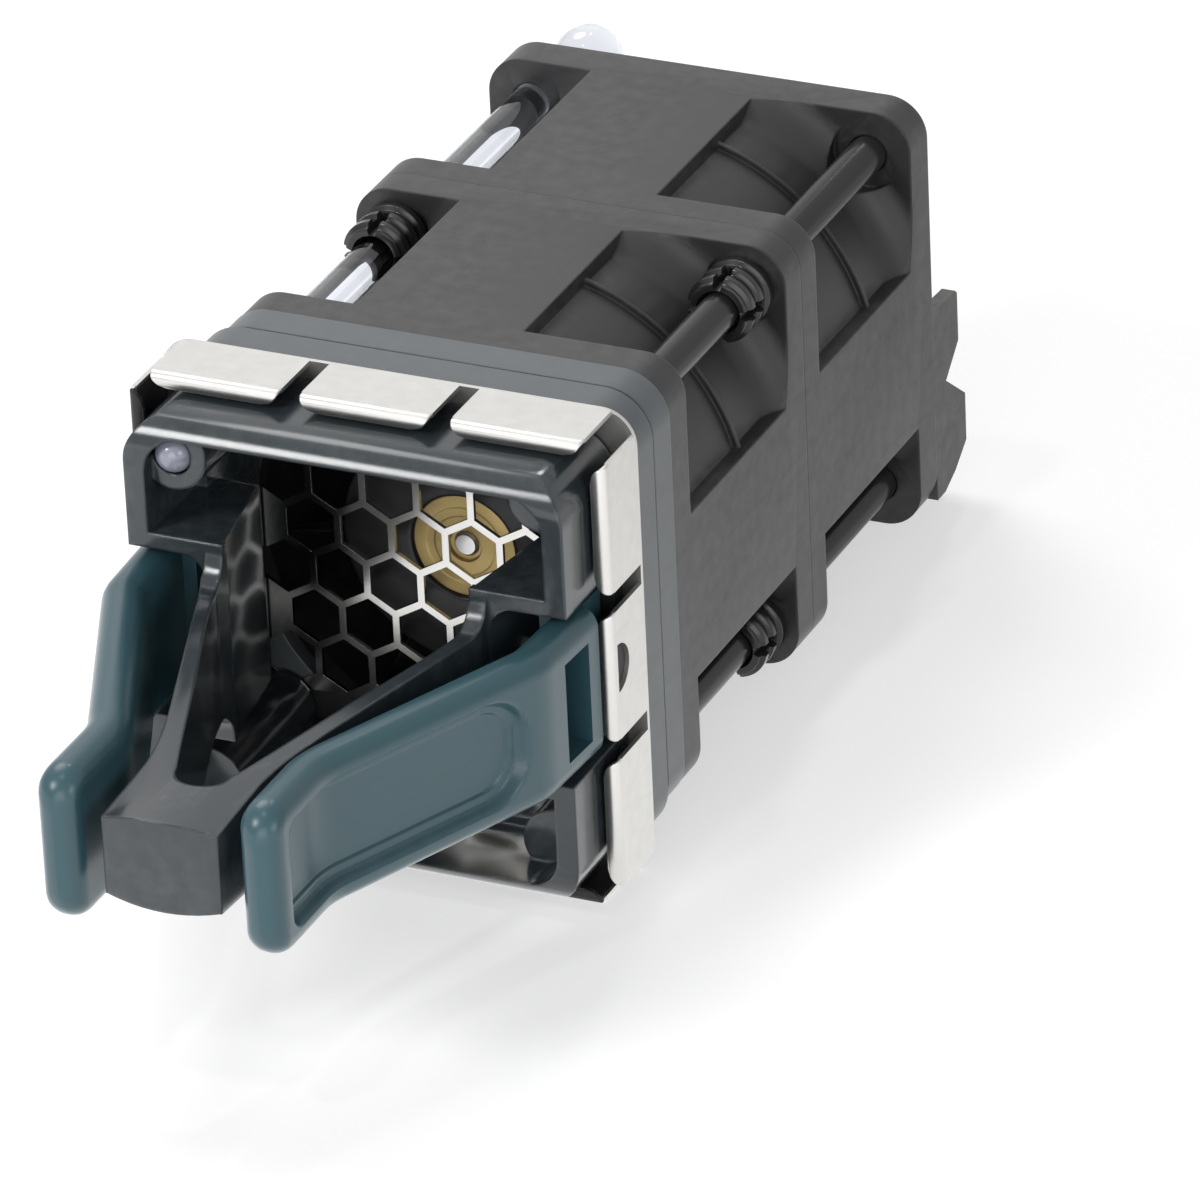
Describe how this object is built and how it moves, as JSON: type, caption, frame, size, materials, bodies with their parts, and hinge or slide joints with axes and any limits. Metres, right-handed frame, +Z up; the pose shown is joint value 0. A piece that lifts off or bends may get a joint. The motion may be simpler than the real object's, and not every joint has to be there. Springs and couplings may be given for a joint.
{
  "type": "server fan module",
  "caption": "Hot-swap cooling module: two counter-rotating axial fans in line behind a pinch-latch bezel with a honeycomb shield.",
  "frame": {"origin": "under the middle of the module's bounding box, on the plane its lower spring fingers rest on", "axes": "+Y along the airflow, from the handle to the connector; +Z up; +X to the right seen from the handle"},
  "size_m": [0.043, 0.1222, 0.043],
  "materials": {
    "housing": "satin moulded black",
    "blades": "satin moulded black",
    "bezel": "glossy blue-grey",
    "lever": "soft gloss teal",
    "frame": "satin grey",
    "shield": "bright brushed sheet",
    "brass": "dull",
    "steel": "ground",
    "magnet": "sintered",
    "copper": "enamelled wire",
    "laminations": "stamped",
    "board": "solder mask",
    "rod": "glossy black",
    "collar": "satin black",
    "clear": "clear polished",
    "bracket": "dark grey-green",
    "contacts": "plated"
  },
  "bodies": {
    "module": {"bezel_handle": "bezel", "emi_shield": "shield", "rear_frame": "frame", "light_pipe": "clear", "rear_bracket": "bracket", "connector_housing": "housing", "connector_contacts": "contacts", "lever_pin_left": "steel", "lever_spring_left": "steel", "lever_pin_right": "steel", "lever_spring_right": "steel", "rod_collar_upper_left": "collar", "rod_collar_upper_right": "collar", "tie_rod_upper_right": "rod", "rod_collar_lower_left": "collar", "tie_rod_lower_left": "rod", "rod_collar_lower_right": "collar", "tie_rod_lower_right": "rod", "fan_housing_front": "housing", "bearing_tube_front": "housing", "bearing_front_front": "steel", "bearing_front_rear": "steel", "preload_washer_front": "steel", "stator_core_front": "laminations", "stator_coils_front": "copper", "motor_board_front": "board", "fan_housing_rear": "housing", "bearing_tube_rear": "housing", "bearing_rear_front": "steel", "bearing_rear_rear": "steel", "preload_washer_rear": "steel", "stator_core_rear": "laminations", "stator_coils_rear": "copper", "motor_board_rear": "board"},
    "left_latch": {"latch_lever_left": "lever"},
    "right_latch": {"latch_lever_right": "lever"},
    "front_rotor": {"impeller_front": "blades", "rotor_boss_front": "brass", "rotor_cup_front": "steel", "magnet_ring_front": "magnet", "shaft_front": "steel", "shaft_clip_front": "steel"},
    "rear_rotor": {"impeller_rear": "blades", "rotor_boss_rear": "brass", "rotor_cup_rear": "steel", "magnet_ring_rear": "magnet", "shaft_rear": "steel", "shaft_clip_rear": "steel"}
  },
  "joints": [
    {"name": "front_rotor_spin", "type": "hinge", "parent": "module", "child": "front_rotor", "pos_m": [0, 0.01, 0.0215], "axis": [0, 1, 0], "continuous": true},
    {"name": "rear_rotor_spin", "type": "hinge", "parent": "module", "child": "rear_rotor", "pos_m": [0, 0.038, 0.0215], "axis": [0, -1, 0], "continuous": true},
    {"name": "left_latch_pinch", "type": "hinge", "parent": "module", "child": "left_latch", "pos_m": [-0.0174, -0.0173, 0.0215], "axis": [0, 0, 1], "range_deg": [0, 1.8], "stiffness_Nm_per_rad": 0.05, "springref_deg": -11.46},
    {"name": "right_latch_pinch", "type": "hinge", "parent": "module", "child": "right_latch", "pos_m": [0.0174, -0.0173, 0.0215], "axis": [0, 0, -1], "range_deg": [0, 1.8], "stiffness_Nm_per_rad": 0.05, "springref_deg": -11.46}
  ]
}
